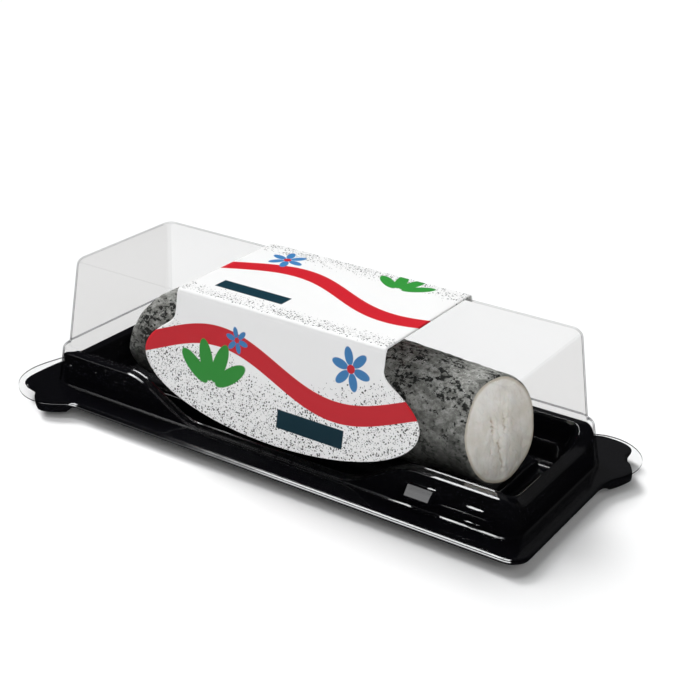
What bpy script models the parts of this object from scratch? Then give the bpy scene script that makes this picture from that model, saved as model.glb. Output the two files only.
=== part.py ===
"""Goat cheese log coated with ash, shut in its retail pack.

A black formed tray carries the log. A clear formed lid with a tapered dome snaps over the tray, and a
card label lies over the dome and hangs down its front as an oval lobe. X runs along the pack, Y across it,
and Z up from the surface that the tray stands on.
"""
import math

import bmesh
import bpy
import numpy as np

MM = 0.001

# Heights above the surface that the pack stands on.
LEDGE_Z = 5.6 * MM
RAIL_RISE = 13.2 * MM
RAIL_DIP = 0.9 * MM
END_RISE = 8.4 * MM
CRADLE_Z = 5.6 * MM

# Sheet thicknesses and the gap between pieces that touch.
TRAY_WALL = 0.6 * MM
LID_WALL = 0.5 * MM
CARD = 0.4 * MM
GAP = 0.3 * MM

# The flange sits a little off the dome's middle and its tabs reach out unequally. The whole pack is
# shifted to centre its outline.
FLANGE_SHIFT = 0.6 * MM
PACK_X = 0.65 * MM

# Half lengths and half widths of the tray, with the corner radius at each level.
TRAY_FOOT = (95.4 * MM, 31.4 * MM, 6.6 * MM)
TRAY_SHOULDER = (94.0 * MM, 31.4 * MM, 6.2 * MM)
RAIL_OUTER = (93.6 * MM, 31.0 * MM, 5.8 * MM)
RAIL_INNER = (89.4 * MM, 27.6 * MM, 4.0 * MM)
CAVITY_RIM = (88.9 * MM, 27.1 * MM, 3.8 * MM)
GUTTER_OUTER = (84.0 * MM, 25.2 * MM, 3.2 * MM)
GUTTER_INNER = (80.2 * MM, 21.0 * MM, 3.0 * MM)
CRADLE_EDGE = (78.6 * MM, 18.0 * MM, 3.0 * MM)
CRADLE_FLOOR = (76.0 * MM, 11.2 * MM, 3.0 * MM)
CRADLE_EDGE_RISE = 2.0 * MM
SHOULDER_DROP = 0.8 * MM

# Each long side's rail dips in the middle. Round the corners the rail falls to the lower end rails, and
# that fall is measured along |x| - |y|.
DIP_HALF = 30.0 * MM
PLATEAU_START = 60.0 * MM
FALL_START = 57.0 * MM
FALL_END = 73.0 * MM

# Half lengths and half widths of the lid, with the corner radius at each level.
LID_FOOT = (96.7 * MM, 33.0 * MM, 8.0 * MM)
COLLAR_TOP = (93.6 * MM, 32.4 * MM, 7.0 * MM)
STEP_INNER = (91.6 * MM, 30.4 * MM, 6.0 * MM)
DOME_TOP = (87.8 * MM, 26.6 * MM, 4.6 * MM)
COLLAR_RISE = 14.6 * MM
STEP_RISE = 16.3 * MM
DOME_RISE = 48.9 * MM
DOME_ROUND = 2.8 * MM
DOME_ROUND_STEPS = 3

# The flange is a rectangle with round corners. Two opposite corners grow into finger tabs.
FLANGE_X = 102.3 * MM
FLANGE_Y = 42.1 * MM
FLANGE_ROUND = 6.4 * MM
RIM_DROP = 1.1 * MM
TAB_DROP = 3.4 * MM
RIM_FLARE = 0.45 * MM
RIM_ROUND = 0.6 * MM
RIM_CHAMFER = 0.25 * MM
RIM_SETBACK = 0.4 * MM
SKIRT_BLEND = (-0.4 * MM, 2.0 * MM)

# Tab outlines in millimetres for the corner at +X and +Y, from the end edge round to the long edge.
TAB_RIGHT_LID = [(102.3, 14.0), (103.4, 20.5), (106.6, 27.0), (107.7, 33.0), (106.3, 39.5), (102.0, 45.0),
                 (96.0, 48.1), (89.5, 48.4), (84.0, 46.2), (79.0, 42.8), (74.0, 42.1)]
TAB_LEFT_LID = [(102.3, -2.0), (104.5, 6.0), (107.9, 16.3), (110.2, 27.0), (108.9, 35.5), (104.5, 42.0),
                (97.5, 46.9), (90.0, 48.3), (84.0, 46.2), (78.7, 42.7), (74.0, 42.1)]
TAB_RIGHT_TRAY = [(101.9, 14.0), (103.0, 20.5), (105.9, 27.0), (106.2, 31.5), (103.4, 36.3), (100.8, 39.6),
                  (100.6, 43.0), (99.8, 45.6), (95.8, 47.6), (89.3, 48.0), (84.0, 45.7), (79.0, 42.3),
                  (74.0, 41.7)]
TAB_LEFT_TRAY = [(101.9, -2.0), (103.9, 6.0), (106.4, 16.3), (107.2, 27.0), (106.7, 35.0), (104.2, 39.2),
                 (99.8, 40.6), (96.8, 41.5), (93.6, 45.0), (89.5, 47.6), (84.0, 45.7), (78.7, 42.2),
                 (74.0, 41.7)]
TAB_SMOOTHING = 4

# Edges that bend by more degrees than this are shaded sharp.
SHARP_ANGLE = 35.0

# Places round a ring, as fractions of half the straight run of a long side and of an end.
LONG_STEPS = [0.0, 0.14, 0.27, 0.37, 0.44, 0.51, 0.58, 0.65, 0.76, 0.87, 0.94, 0.97, 1.0]
END_STEPS = [0.0, 0.5, 0.76, 0.82, 0.88, 0.94, 1.0]
CORNER_STEPS = 10

# Cheese log: a little thinner at the cut end, which is sliced off at a slant.
LOG_Y = -3.9 * MM
LOG_RADIUS = 19.7 * MM
CUT_RADIUS = 18.0 * MM
BACK_RADIUS = 18.5 * MM
TAPER_START = 20.0 * MM
CUT_X = 74.2 * MM
BACK_X = -62.4 * MM
BACK_ROUND = 6.0 * MM
CUT_LEAN = 0.20
CUT_TURN = -0.19
BACK_LEAN = 0.20
BACK_TURN = 0.40
LOG_SIDES = 48
LOG_STEPS = 26
LOG_END_GAP = 0.02
RIND_RELIEF = 0.12 * MM
# Waves of the rind: how many go round the log, how fast they turn along it in radians per metre, phase.
RIND_WAVES = [(2, 55.0, 0.4), (3, -90.0, 1.9), (5, 140.0, 0.7), (7, -210.0, 2.6)]

# Card label: a band over the dome with an oval lobe down the front and a short fold at the back.
BAND_LEFT = 38.6 * MM
BAND_RIGHT = 44.8 * MM
LOBE_X = 4.7 * MM
LOBE_HALF = 55.2 * MM
NECK_POWER = 12
LOBE_RISE = 25.7 * MM
LOBE_DEPTH = 19.0 * MM
LOBE_START = -86.0
LOBE_END = 55.0
BACK_FOLD = 5.0 * MM
FOLD_ROUND = 1.2 * MM
FOLD_INSET = 0.4 * MM
CARD_CLEAR = 0.35 * MM
LOBE_ROWS = 16
CARD_COLUMNS = 8


def clear_scene():
    """Remove every object that the scene holds."""
    for obj in list(bpy.data.objects):
        bpy.data.objects.remove(obj, do_unlink=True)


def principled(name, color, roughness, metallic=0.0, transmission=0.0):
    """Make a plain Principled material."""
    material = bpy.data.materials.new(name)
    material.use_nodes = True
    shader = material.node_tree.nodes["Principled BSDF"]
    shader.inputs["Base Color"].default_value = (*color, 1.0)
    shader.inputs["Roughness"].default_value = roughness
    shader.inputs["Metallic"].default_value = metallic
    shader.inputs["Transmission Weight"].default_value = transmission
    return material


def add_object(name, bm, material):
    """Turn a bmesh into a smooth-shaded object with one material."""
    mesh = bpy.data.meshes.new(name)
    bmesh.ops.recalc_face_normals(bm, faces=bm.faces)
    bmesh.ops.translate(bm, verts=bm.verts, vec=(PACK_X, 0.0, 0.0))
    bm.to_mesh(mesh)
    bm.free()
    mesh.shade_smooth()
    mesh.set_sharp_from_angle(angle=math.radians(SHARP_ANGLE))
    obj = bpy.data.objects.new(name, mesh)
    obj.data.materials.append(material)
    bpy.context.scene.collection.objects.link(obj)
    return obj


def ease(value, start, end):
    """Go smoothly from 0 at start to 1 at end."""
    t = min(max((value - start) / (end - start), 0.0), 1.0)
    return t * t * (3.0 - 2.0 * t)


def ring_places(level):
    """Return the points of a rounded rectangle and their outward directions, counter-clockwise."""
    half_x, half_y, radius = level
    run_x = half_x - radius
    run_y = half_y - radius
    long_run = [-t for t in reversed(LONG_STEPS[1:])] + LONG_STEPS
    end_run = [-t for t in reversed(END_STEPS[1:])] + END_STEPS
    places = []
    sides = [((0.0, -1.0), [(t * run_x, -half_y) for t in long_run]),
             ((1.0, 0.0), [(half_x, t * run_y) for t in end_run]),
             ((0.0, 1.0), [(-t * run_x, half_y) for t in long_run]),
             ((-1.0, 0.0), [(-half_x, -t * run_y) for t in end_run])]
    centres = [(run_x, -run_y), (run_x, run_y), (-run_x, run_y), (-run_x, -run_y)]
    for index, (outward, points) in enumerate(sides):
        places.extend((point, outward) for point in points)
        for step in range(1, CORNER_STEPS):
            angle = math.radians(-90.0 + 90.0 * (index + step / CORNER_STEPS))
            direction = (math.cos(angle), math.sin(angle))
            centre = centres[index]
            places.append(((centre[0] + radius * direction[0], centre[1] + radius * direction[1]), direction))
    return places


def smooth_run(points, pieces):
    """Carry a smooth curve through the points and return it with more points."""
    run = []
    last = len(points) - 1
    for i in range(last):
        before = np.array(points[max(i - 1, 0)])
        here = np.array(points[i])
        after = np.array(points[i + 1])
        beyond = np.array(points[min(i + 2, last)])
        for step in range(pieces):
            t = step / pieces
            run.append(0.5 * (2 * here + (after - before) * t
                              + (2 * before - 5 * here + 4 * after - beyond) * t ** 2
                              + (3 * here - before - 3 * after + beyond) * t ** 3))
    run.append(np.array(points[last]))
    return run


def flange_outline(tab_right, tab_left, inset):
    """Return the flange's outline: tabs at +X +Y and at -X -Y, round corners at the other two."""
    def corner(sign_x, sign_y):
        centre = np.array([sign_x * (FLANGE_X - FLANGE_ROUND), sign_y * (FLANGE_Y - FLANGE_ROUND)])
        middle = math.atan2(sign_y, sign_x)
        turns = [middle + math.pi * (step / CORNER_STEPS - 0.5) / 2.0 for step in range(CORNER_STEPS + 1)]
        return [centre + (FLANGE_ROUND - inset) * np.array([math.cos(a), math.sin(a)]) for a in turns]

    right = [point * MM for point in smooth_run(tab_right, TAB_SMOOTHING)]
    left = [-point * MM for point in smooth_run(tab_left, TAB_SMOOTHING)]
    shift = np.array([FLANGE_SHIFT, 0.0])
    return [point + shift for point in corner(1, -1) + right + corner(-1, 1) + left]


def reach_outline(point, outward, outline):
    """Go from a point along its outward direction to the outline and return where they meet."""
    origin = np.array(point)
    ray = np.array(outward)
    best = None
    for a, b in zip(outline, outline[1:] + outline[:1]):
        edge = b - a
        cross = ray[0] * edge[1] - ray[1] * edge[0]
        if abs(cross) < 1e-15:
            continue
        offset = a - origin
        along = (offset[0] * edge[1] - offset[1] * edge[0]) / cross
        where = (offset[0] * ray[1] - offset[1] * ray[0]) / cross
        if along > 0.0 and -1e-9 <= where <= 1.0 + 1e-9 and (best is None or along < best):
            best = along
    return origin + ray * best


def rail_height(x, y):
    """Height of the rail's top: high along the long sides, low in mid-side, middling along the ends."""
    climb = ease(abs(x), DIP_HALF, PLATEAU_START)
    fall = ease(abs(x) - abs(y), FALL_START, FALL_END)
    return LEDGE_Z + RAIL_DIP + (RAIL_RISE - RAIL_DIP) * climb - (RAIL_RISE - END_RISE) * fall


def level_ring(level, height, grow=0.0):
    """A ring of 3D points at a level, with a fixed height or a height that is a function of the place."""
    grown = (level[0] + grow, level[1] + grow, level[2] + grow)
    ring = []
    for (x, y), _ in ring_places(grown):
        z = height(x, y) if callable(height) else height
        ring.append((x, y, z))
    return ring


def tab_share(x, y):
    """How far a place on the rim lies into a tab, from 0 on a straight edge to 1."""
    beyond = max(abs(x - FLANGE_SHIFT) - FLANGE_X, abs(y) - FLANGE_Y)
    return ease(beyond, *SKIRT_BLEND) if x * y > 0 else 0.0


def rim_ring(foot, outline, height, setback=0.0, drop_rim=0.0, drop_tab=0.0):
    """The foot ring carried out to the flange's outline, less a setback, and dropped at rim and tabs."""
    ring = []
    for point, outward in ring_places(foot):
        edge = reach_outline(point, outward, outline) - setback * np.array(outward)
        share = tab_share(*edge)
        ring.append((edge[0], edge[1], height - drop_rim - (drop_tab - drop_rim) * share))
    return ring


def sheet_underside(rings, wall):
    """The rings of a sheet's upper side moved in by its thickness, with every bend mitred."""
    places = np.array(rings)
    around = np.roll(places, -1, axis=1) - np.roll(places, 1, axis=1)
    strips = np.cross(places[:-1] - places[1:], around[1:] + around[:-1])
    strips /= np.linalg.norm(strips, axis=2)[:, :, None]
    cap = np.zeros_like(strips[:1])
    cap[:, :, 2] = 1.0
    before = np.concatenate([strips[:1], strips])
    after = np.concatenate([strips, cap])
    bend = 1.0 + (before * after).sum(axis=2)
    return places - wall * (before + after) / bend[:, :, None]


def add_shell(name, rings, wall, material):
    """Give the rings of a sheet, from its rim to the edge of its flat middle, a thickness below."""
    rows = [list(ring) for ring in rings] + [list(ring) for ring in reversed(sheet_underside(rings, wall))]
    bm = bmesh.new()
    verts = [[bm.verts.new(co) for co in row] for row in rows]
    middle = len(rings) - 1
    for index, row in enumerate(verts):
        following = verts[(index + 1) % len(verts)]
        if index == middle:
            bm.faces.new(row)
            bm.faces.new(list(reversed(following)))
        else:
            join_rings(bm, row, following)
    return add_object(name, bm, material)


def join_rings(bm, row, following):
    """Fill the strip between two rings of equal length."""
    count = len(row)
    for i in range(count):
        j = (i + 1) % count
        bm.faces.new((row[i], row[j], following[j], following[i]))


def build_tray(material):
    """Black formed tray: flange with tabs, hollow rail all round, gutter to stand on, raised cradle."""
    outline = flange_outline(TAB_RIGHT_TRAY, TAB_LEFT_TRAY, RIM_SETBACK)

    def shoulder(x, y):
        return rail_height(x, y) - SHOULDER_DROP

    rings = [rim_ring(TRAY_FOOT, outline, LEDGE_Z, 0.0, RIM_DROP, TAB_DROP),
             rim_ring(TRAY_FOOT, outline, LEDGE_Z, RIM_FLARE, RIM_CHAMFER, RIM_CHAMFER),
             rim_ring(TRAY_FOOT, outline, LEDGE_Z, RIM_FLARE + RIM_ROUND),
             level_ring(TRAY_FOOT, LEDGE_Z),
             level_ring(TRAY_SHOULDER, shoulder),
             level_ring(RAIL_OUTER, rail_height),
             level_ring(RAIL_INNER, rail_height),
             level_ring(CAVITY_RIM, shoulder),
             level_ring(GUTTER_OUTER, TRAY_WALL),
             level_ring(GUTTER_INNER, TRAY_WALL),
             level_ring(CRADLE_EDGE, CRADLE_Z + CRADLE_EDGE_RISE),
             level_ring(CRADLE_FLOOR, CRADLE_Z)]
    return add_shell("tray", rings, TRAY_WALL, material)


def dome_level(rise):
    """Half length, half width and corner radius of the dome's tapered wall at a height above the ledge."""
    t = (rise - STEP_RISE) / (DOME_RISE - STEP_RISE)
    return tuple(low + (high - low) * t for low, high in zip(STEP_INNER, DOME_TOP))


def build_lid(material):
    """Clear formed lid: flange with tabs, collar round the tray, step and tapered dome with a flat top."""
    outline = flange_outline(TAB_RIGHT_LID, TAB_LEFT_LID, 0.0)
    flange_top = LEDGE_Z + GAP + LID_WALL
    rings = [rim_ring(LID_FOOT, outline, flange_top),
             level_ring(LID_FOOT, flange_top),
             level_ring(COLLAR_TOP, LEDGE_Z + COLLAR_RISE),
             level_ring(STEP_INNER, LEDGE_Z + STEP_RISE)]
    for step in range(DOME_ROUND_STEPS + 1):
        angle = math.radians(90.0 * step / DOME_ROUND_STEPS)
        sink = DOME_ROUND * (1.0 - math.sin(angle))
        inward = DOME_ROUND * (1.0 - math.cos(angle))
        rings.append(level_ring(dome_level(DOME_RISE - sink), LEDGE_Z + DOME_RISE - sink, -inward))
    return add_shell("lid", rings, LID_WALL, material)


def rind_relief(angle, x):
    """Low uneven swelling of the rind, as a sum of slow waves."""
    return RIND_RELIEF * sum(math.sin(n * angle + k * x + phase) for n, k, phase in RIND_WAVES)


def build_log(material):
    """Cheese log lying on the cradle: slanted cut face at +X, rounded back end at -X."""
    centre_z = CRADLE_Z + GAP + LOG_RADIUS + RIND_RELIEF * len(RIND_WAVES)
    bm = bmesh.new()
    rings = []
    for step in range(LOG_STEPS + 1):
        spread = (1.0 - math.cos(math.pi * min(step / LOG_STEPS + LOG_END_GAP, 1.0))) / 2.0
        middle = BACK_X + (CUT_X - BACK_X) * spread
        toward_cut = ease(middle, 0.0, CUT_X)
        toward_back = ease(-middle, 0.0, -BACK_X)
        radius = LOG_RADIUS - (LOG_RADIUS - CUT_RADIUS) * ease(middle, TAPER_START, CUT_X)
        radius -= (LOG_RADIUS - BACK_RADIUS) * toward_back
        into_end = min(max((middle - BACK_X) / BACK_ROUND, 0.0), 1.0)
        radius -= BACK_ROUND * (1.0 - math.sqrt(1.0 - (1.0 - into_end) ** 2))
        ring = []
        for i in range(LOG_SIDES):
            angle = 2.0 * math.pi * i / LOG_SIDES
            reach = radius + rind_relief(angle, middle)
            y = reach * math.cos(angle)
            z = reach * math.sin(angle)
            lean = toward_back * (BACK_TURN * y + BACK_LEAN * z) - toward_cut * (CUT_TURN * y + CUT_LEAN * z)
            ring.append(bm.verts.new((middle + lean, LOG_Y + y, centre_z + z)))
        rings.append(ring)
    for ring, following in zip(rings, rings[1:]):
        join_rings(bm, ring, following)
    bm.faces.new(list(reversed(rings[0])))
    bm.faces.new(rings[-1])
    return add_object("cheese_log", bm, material)


def neck(band, lobe):
    """The wider of band and lobe, with a round inner corner where they are equally wide."""
    return (band ** NECK_POWER + lobe ** NECK_POWER) ** (1.0 / NECK_POWER)


def card_rows():
    """Rows of the label from the front lobe over the dome to the back fold: two ends in x, then y, z."""
    top_y = DOME_TOP[1] + CARD_CLEAR
    top_z = LEDGE_Z + DOME_RISE + CARD_CLEAR
    lean = (COLLAR_TOP[1] - DOME_TOP[1]) / (DOME_RISE - COLLAR_RISE)
    rows = []
    for step in range(LOBE_ROWS + 1):
        angle = math.radians(LOBE_START + (LOBE_END - LOBE_START) * step / LOBE_ROWS)
        z = LEDGE_Z + LOBE_RISE + LOBE_DEPTH * math.sin(angle)
        half = LOBE_HALF * math.cos(angle)
        ends = (LOBE_X - half, LOBE_X + half)
        if angle > 0.0:
            ends = (-neck(BAND_LEFT, half - LOBE_X), neck(BAND_RIGHT, half + LOBE_X))
        rows.append((*ends, -(top_y + lean * (top_z - z)), z))
    for side in (-1.0, 1.0):
        fold = [(side * (top_y + lean * FOLD_ROUND), top_z - FOLD_ROUND),
                (side * (top_y - FOLD_INSET), top_z)]
        rows += [(-BAND_LEFT, BAND_RIGHT, y, z) for y, z in (fold if side < 0.0 else reversed(fold))]
    rows.append((-BAND_LEFT, BAND_RIGHT, top_y + lean * BACK_FOLD, top_z - BACK_FOLD))
    return rows


def build_label(material):
    """Card label: a thin folded sheet with its rows joined into one closed band."""
    rows = card_rows()
    path = np.array([row[2:] for row in rows])
    ahead = np.gradient(path, axis=0)
    ahead /= np.linalg.norm(ahead, axis=1)[:, None]
    outward = np.stack([-ahead[:, 1], ahead[:, 0]], axis=1)
    bm = bmesh.new()
    sheets = []
    for offset in (0.0, CARD):
        sheet = []
        for (left, right, _, _), place, out in zip(rows, path, outward):
            y, z = place + out * offset
            sheet.append([bm.verts.new((left + (right - left) * c / CARD_COLUMNS, y, z))
                          for c in range(CARD_COLUMNS + 1)])
        sheets.append(sheet)
    inner, outer = sheets
    last_row = len(rows) - 1
    for r in range(last_row):
        for c in range(CARD_COLUMNS):
            bm.faces.new((outer[r][c], outer[r][c + 1], outer[r + 1][c + 1], outer[r + 1][c]))
            bm.faces.new((inner[r][c], inner[r + 1][c], inner[r + 1][c + 1], inner[r][c + 1]))
        for c in (0, CARD_COLUMNS):
            bm.faces.new((inner[r][c], outer[r][c], outer[r + 1][c], inner[r + 1][c]))
    for r in (0, last_row):
        for c in range(CARD_COLUMNS):
            bm.faces.new((inner[r][c], inner[r][c + 1], outer[r][c + 1], outer[r][c]))
    return add_object("label", bm, material)


def main():
    clear_scene()
    build_tray(principled("black_plastic", (0.012, 0.012, 0.014), 0.16))
    build_lid(principled("clear_plastic", (0.95, 0.96, 0.97), 0.04, transmission=1.0))
    build_label(principled("printed_card", (0.86, 0.86, 0.85), 0.42))
    build_log(principled("ash_rind", (0.16, 0.16, 0.15), 0.85))


main()
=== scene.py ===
"""Looks of the ash-coated goat cheese log in its retail pack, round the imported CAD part."""
import math

import bmesh
import bpy
import numpy as np
from mathutils import Matrix, Vector, noise


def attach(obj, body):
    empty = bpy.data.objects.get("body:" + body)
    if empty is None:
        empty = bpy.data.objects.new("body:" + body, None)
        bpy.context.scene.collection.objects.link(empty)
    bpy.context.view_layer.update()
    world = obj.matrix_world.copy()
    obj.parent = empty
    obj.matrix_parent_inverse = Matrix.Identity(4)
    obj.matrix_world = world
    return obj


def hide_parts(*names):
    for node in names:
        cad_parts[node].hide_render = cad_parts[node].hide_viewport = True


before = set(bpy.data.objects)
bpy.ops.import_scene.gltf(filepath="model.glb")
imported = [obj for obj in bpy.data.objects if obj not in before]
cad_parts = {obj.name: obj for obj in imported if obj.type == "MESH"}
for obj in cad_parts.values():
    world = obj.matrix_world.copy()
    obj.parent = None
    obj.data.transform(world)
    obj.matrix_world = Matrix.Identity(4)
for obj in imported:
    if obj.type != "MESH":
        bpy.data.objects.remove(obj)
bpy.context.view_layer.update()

MM = 0.001

# Sizes are in millimetres, in the frame of the part.
PACK_X = 0.65         # middle of the pack along X
FLANGE_SHIFT = 1.25   # middle of the flange along X
TRAY_WALL = 0.6
LID_SHEET = 0.4
FLANGE_GAP = 0.1      # air between the tray's flange and the lid's
LEDGE_Z = 5.6         # top of the tray's flange
LID_LEDGE_Z = LEDGE_Z + FLANGE_GAP + LID_SHEET
CRADLE_Z = 5.6        # floor of the cradle
CRADLE_LIP = 2.0      # edge of the cradle above its floor

# Heights above the top of the tray's flange.
RAIL_DIP = 0.9
RAIL_RISE = 13.2
END_RISE = 8.4
COLLAR_RISE = 14.6
STEP_RISE = 16.3
DOME_RISE = 48.9

# Where the rail climbs out of its dip, and where it falls to the end walls.
RAIL_CLIMB = (30.0, 60.0)
RAIL_FALL = (57.0, 73.0)

# Levels of the tray and the lid: half length, half width and corner radius.
TRAY_FOOT = (95.4, 31.4, 6.6)
TRAY_SHOULDER = (94.0, 31.4, 6.2)
RAIL_OUTER = (93.6, 31.0, 5.8)
RAIL_INNER = (89.4, 27.6, 4.0)
CAVITY_RIM = (88.9, 27.1, 3.8)
GUTTER_OUTER = (84.0, 25.2, 3.2)
GUTTER_INNER = (80.2, 21.0, 3.0)
CRADLE_EDGE = (78.6, 18.0, 3.0)
CRADLE_FLOOR = (76.0, 11.2, 3.0)
LID_FOOT = (96.7, 33.0, 8.0)
COLLAR_TOP = (93.6, 32.4, 7.0)
STEP_INNER = (91.6, 30.4, 6.0)
DOME_TOP = (87.8, 26.6, 4.6)
DOME_FOLD = 2.8       # radius of the fold round the dome's top
DOME_FOLD_STEPS = 8

FLANGE_X = 102.3
FLANGE_Y = 42.1
FLANGE_ROUND = 6.4
TRAY_INSET = 0.4      # how much smaller the tray's round flange corners are than the lid's

# Outlines of the tabs from above. The left ones are turned half round, to the corner at -X -Y.
TAB_RIGHT_LID = [(102.3, 14.0), (103.4, 20.5), (106.6, 27.0), (107.7, 33.0), (106.3, 39.5), (102.0, 45.0),
                 (96.0, 48.1), (89.5, 48.4), (84.0, 46.2), (79.0, 42.8), (74.0, 42.1)]
TAB_LEFT_LID = [(102.3, -2.0), (104.5, 6.0), (107.9, 16.3), (110.2, 27.0), (108.9, 35.5), (104.5, 42.0),
                (97.5, 46.9), (90.0, 48.3), (84.0, 46.2), (78.7, 42.7), (74.0, 42.1)]
TAB_RIGHT_TRAY = [(101.9, 14.0), (102.8, 19.5), (104.8, 24.5), (106.1, 28.5), (106.4, 31.0), (105.2, 33.2),
                  (103.4, 35.8), (101.6, 38.2), (100.7, 40.6), (100.7, 43.2), (99.4, 46.0), (96.0, 47.8),
                  (91.5, 48.4), (87.5, 48.1), (83.0, 45.9), (79.0, 42.4), (74.0, 41.7)]
TAB_LEFT_TRAY = [(101.9, -2.0), (103.9, 6.0), (106.4, 16.3), (107.2, 27.0), (106.7, 35.0), (104.2, 39.2),
                 (99.8, 40.6), (96.8, 41.5), (93.6, 45.0), (89.5, 47.6), (84.0, 45.7), (78.7, 42.2),
                 (74.0, 41.7)]

# A tab begins where the flange reaches past its plain sides. Its turned-down skirt ends along Y on the
# right tab and along -X on the left tab.
TAB_BEGIN = (-0.3, 1.0)
SKIRT_END_RIGHT = (30.0, 33.5)
SKIRT_END_LEFT = (88.0, 92.0)

# The tray's rim from its outline inwards: setback, drop at the rim, drop at a tab's skirt, drop at a
# tab's other edges, and size of the bend.
TRAY_RIM = [(0.0, 1.1, 3.4, 0.5, 0.0),
            (0.14, 0.76, 0.40, 0.10, 0.15),
            (1.34, 0.10, 0.05, 0.02, 0.2),
            (1.80, 0.0, 0.0, 0.0, 0.2)]

# Small forms on the tray's front wall. Ribs have a start, an end and a height. Marks have a centre and
# half sizes along X, Y and Z.
WALL_Y = -31.4
RIBS = [(78.0, 84.8, 12.7), (77.6, 84.4, 7.5), (56.8, 67.8, 14.3)]
RIB_SECTION = [(0.15, 0.42), (-0.56, 0.05), (-0.48, -0.25), (0.15, -0.5)]
RIB_STEPS = 8
MARKS = [((77.8, WALL_Y, 9.9), (8.4, 0.25, 0.30)),
         ((-86.7, WALL_Y, 13.3), (1.5, 0.8, 1.2)),
         ((-74.2, WALL_Y, 14.4), (0.6, 0.5, 0.5)),
         ((-64.4, WALL_Y, 13.4), (0.9, 0.5, 0.5)),
         ((-60.6, WALL_Y, 14.9), (0.8, 0.5, 0.5)),
         ((-69.4, WALL_Y, 16.6), (0.7, 0.5, 0.5))]
MARKS += [((x, -31.1, 6.3), (0.7, 0.7, 0.45)) for x in (-0.8, 5.7, 12.1)]

# The log, between its round back end and its cut face.
LOG_GAP = 0.3         # air between the cradle and the log
LOG_RADIUS = 19.7
LOG_Y = -3.9
LOG_CUT_X = 74.2
LOG_BACK_X = -62.4
LOG_SIDES = 220
LOG_STEPS = 200
CUT_RINGS = 40
BACK_RINGS = 10

# Slow waves round the log: number round it, change along it and start.
WAVE_SIZE = 0.12
WAVES = [(2, 0.055, 0.4), (3, -0.090, 1.9), (5, 0.140, 0.7), (7, -0.210, 2.6)]

# Cracks of the cut face: place across and up, half height, half width and depth.
CRACKS = [(-7.2, 27.6, 4.4, 0.55, 1.0), (-0.9, 27.6, 3.4, 0.50, 0.9), (-4.7, 21.3, 3.0, 0.50, 0.7),
          (-5.0, 15.4, 3.0, 0.50, 0.8), (-9.0, 19.6, 2.0, 0.40, 0.4)]

# The card: a straight band over the dome and a wide round lobe down its front.
CARD_THICK = 0.4
CARD_GAP = 0.35       # air between the dome and the card
BAND_LEFT = 38.6
BAND_RIGHT = 44.8
LOBE_X = 4.7          # middle of the lobe along X
LOBE_HALF = 55.2
LOBE_RISE = 25.7
LOBE_DEPTH = 19.0
LOBE_STEPS = 90
CARD_FOLD_UP = 1.2    # height of the card's two folds
CARD_FOLD_IN = 0.9    # depth of the card's two folds
CARD_FOLD_STEPS = 8
CARD_BACK = 2.4       # how far the card reaches down the back
CARD_COLUMNS = 80
UV_UNIT = 100.0       # millimetres of the card in one unit of its UV places

# Points along the long sides, the ends and each corner of a rounded rectangle.
LONG_PLACES = 96
END_PLACES = 34
CORNER_PLACES = 36


# Shapes

def ease(value, start, end):
    """A soft step from 0 at the start to 1 at the end."""
    t = np.clip((value - start) / (end - start), 0.0, 1.0)
    return t * t * (3.0 - 2.0 * t)


def mesh_piece(name, verts, faces, material, replaced=None, smooth=True):
    """A shown piece of the object, from places in millimetres."""
    mesh = bpy.data.meshes.new(name)
    mesh.from_pydata((np.asarray(verts, dtype=float) * MM).tolist(), [], faces)
    bm = bmesh.new()
    bm.from_mesh(mesh)
    bmesh.ops.recalc_face_normals(bm, faces=bm.faces)
    bm.to_mesh(mesh)
    bm.free()
    if smooth:
        mesh.shade_smooth()
    obj = bpy.data.objects.new(name, mesh)
    obj.data.materials.append(material)
    bpy.context.scene.collection.objects.link(obj)
    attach(obj, "root")
    if replaced:
        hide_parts(replaced)
    return obj


def grid_faces(rows, columns, first=0):
    """Faces between rows of points that each close to a loop."""
    faces = []
    for r in range(rows - 1):
        here = first + r * columns
        ahead = here + columns
        for i in range(columns):
            j = (i + 1) % columns
            faces.append((here + i, here + j, ahead + j, ahead + i))
    return faces


def ring_places(level):
    """Points of a rounded rectangle with their outward directions, counter-clockwise."""
    half_x, half_y, radius = level
    run_x = half_x - radius
    run_y = half_y - radius
    long_run = np.linspace(-1.0, 1.0, LONG_PLACES)
    end_run = np.linspace(-1.0, 1.0, END_PLACES)
    sides = [((0, -1), [(t * run_x, -half_y) for t in long_run]),
             ((1, 0), [(half_x, t * run_y) for t in end_run]),
             ((0, 1), [(-t * run_x, half_y) for t in long_run]),
             ((-1, 0), [(-half_x, -t * run_y) for t in end_run])]
    centres = [(run_x, -run_y), (run_x, run_y), (-run_x, run_y), (-run_x, -run_y)]
    points = []
    outs = []
    for index, (outward, side) in enumerate(sides):
        points += side
        outs += [outward] * len(side)
        centre_x, centre_y = centres[index]
        for step in range(1, CORNER_PLACES):
            a = math.radians(-90.0 + 90.0 * (index + step / CORNER_PLACES))
            points.append((centre_x + radius * math.cos(a), centre_y + radius * math.sin(a)))
            outs.append((math.cos(a), math.sin(a)))
    return np.array(points, dtype=float), np.array(outs, dtype=float)


def smooth_run(points, pieces=8):
    """A smooth curve through the points, with more points."""
    run = []
    last = len(points) - 1
    for i in range(last):
        near = [min(max(k, 0), last) for k in (i - 1, i, i + 1, i + 2)]
        before, here, after, beyond = (np.array(points[k]) for k in near)
        for t in np.arange(pieces) / pieces:
            run.append(0.5 * (2 * here + (after - before) * t
                              + (2 * before - 5 * here + 4 * after - beyond) * t ** 2
                              + (3 * here - before - 3 * after + beyond) * t ** 3))
    run.append(np.array(points[last]))
    return run


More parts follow.
